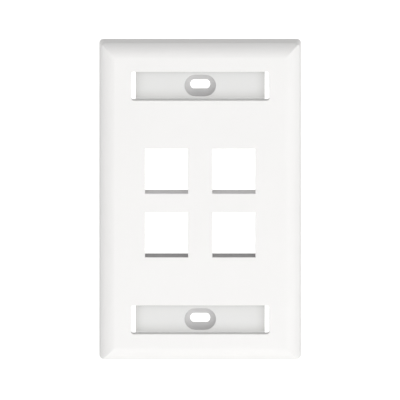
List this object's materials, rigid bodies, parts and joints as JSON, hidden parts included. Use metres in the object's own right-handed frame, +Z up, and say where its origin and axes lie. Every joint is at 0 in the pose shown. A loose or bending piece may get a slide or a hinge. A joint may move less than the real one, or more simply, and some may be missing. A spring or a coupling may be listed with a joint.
{
  "type": "keystone faceplate",
  "caption": "Upright wall plate with bevelled edges, square jack ports whose catches stand behind the face, and recessed label windows with slotted, dished screw seats.",
  "frame": {"origin": "middle of the wall plane, on which the back of the rim lies", "axes": "+X to the right across the face, +Y into the wall, +Z up the plate"},
  "size_m": [0.0698, 0.0099, 0.1142],
  "materials": {
    "moulded_plastic": "smooth white moulding, low gloss"
  },
  "bodies": {
    "root": {"faceplate": "moulded_plastic"}
  },
  "joints": []
}
